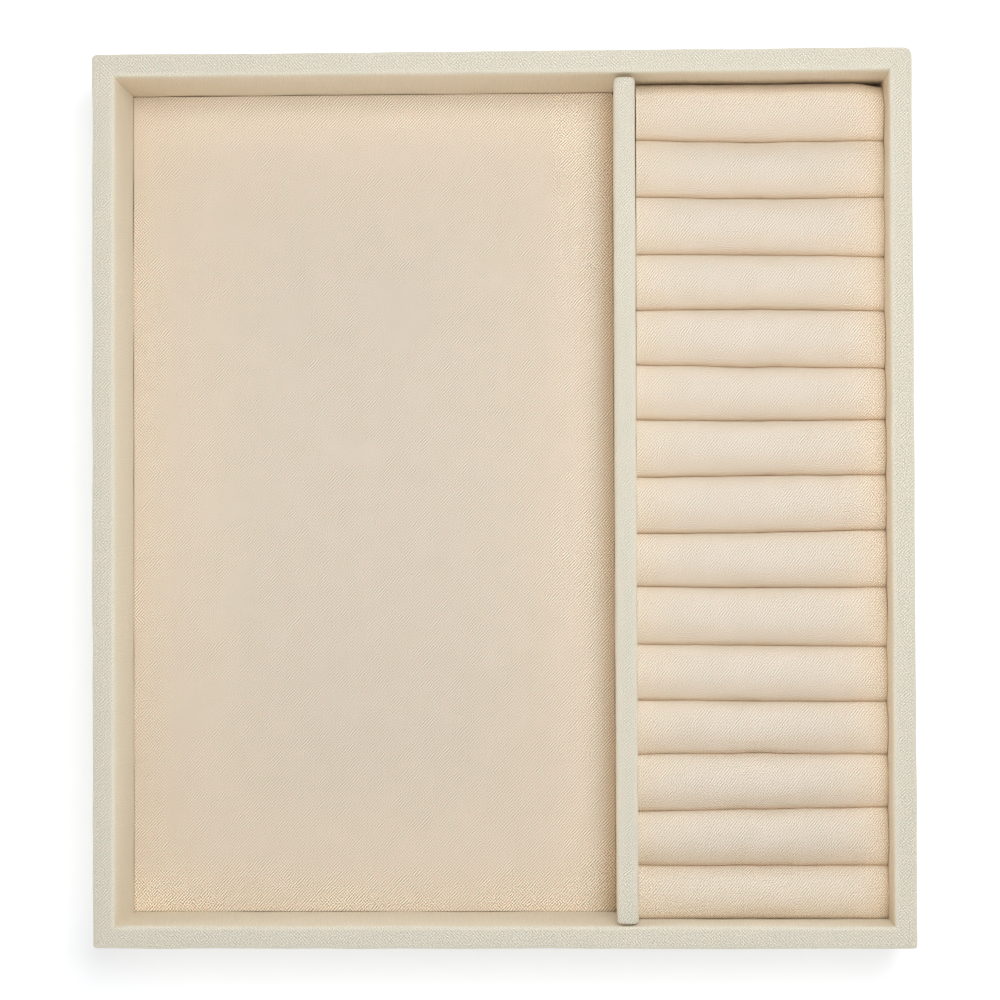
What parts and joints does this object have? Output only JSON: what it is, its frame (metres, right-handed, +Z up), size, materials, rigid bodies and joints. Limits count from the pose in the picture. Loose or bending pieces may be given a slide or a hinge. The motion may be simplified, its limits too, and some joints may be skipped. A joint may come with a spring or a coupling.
{
  "type": "ring tray insert",
  "caption": "Shallow rectangular jewellery tray wrapped in linen, with an open compartment, a divider and a lift-out pad of padded ring rolls.",
  "frame": {"origin": "on the table under the centre of the tray's outside box", "axes": "+Z up, +Y towards the back wall along the tray's long side, +X towards the ring rolls"},
  "size_m": [0.256, 0.2794, 0.04],
  "materials": {
    "greige_linen": "matte",
    "blush_cloth": "matte",
    "grey_board": "matte",
    "white_card": "matte",
    "foam": "matte",
    "beige_felt": "matte"
  },
  "bodies": {
    "tray": {"underside_felt": "beige_felt", "base_board": "grey_board", "back_wall_board": "grey_board", "front_wall_board": "grey_board", "left_wall_board": "grey_board", "right_wall_board": "grey_board", "back_wall_linen": "greige_linen", "front_wall_linen": "greige_linen", "left_wall_linen": "greige_linen", "right_wall_linen": "greige_linen", "divider_board": "grey_board", "divider_linen": "greige_linen", "floor_liner_card": "white_card", "floor_liner_linen": "blush_cloth"},
    "ring_pad": {"ring_carrier_card": "white_card", "ring_roll_foam_01": "foam", "ring_roll_foam_02": "foam", "ring_roll_foam_03": "foam", "ring_roll_foam_04": "foam", "ring_roll_foam_05": "foam", "ring_roll_foam_06": "foam", "ring_roll_foam_07": "foam", "ring_roll_foam_08": "foam", "ring_roll_foam_09": "foam", "ring_roll_foam_10": "foam", "ring_roll_foam_11": "foam", "ring_roll_foam_12": "foam", "ring_roll_foam_13": "foam", "ring_roll_foam_14": "foam", "ring_roll_foam_15": "foam", "ring_roll_cover_01": "blush_cloth", "ring_roll_cover_02": "blush_cloth", "ring_roll_cover_03": "blush_cloth", "ring_roll_cover_04": "blush_cloth", "ring_roll_cover_05": "blush_cloth", "ring_roll_cover_06": "blush_cloth", "ring_roll_cover_07": "blush_cloth", "ring_roll_cover_08": "blush_cloth", "ring_roll_cover_09": "blush_cloth", "ring_roll_cover_10": "blush_cloth", "ring_roll_cover_11": "blush_cloth", "ring_roll_cover_12": "blush_cloth", "ring_roll_cover_13": "blush_cloth", "ring_roll_cover_14": "blush_cloth", "ring_roll_cover_15": "blush_cloth"}
  },
  "joints": [
    {"name": "ring_pad_lift", "type": "slide", "parent": "tray", "child": "ring_pad", "axis": [0, 0, 1], "range_m": [0, 0.045]}
  ]
}
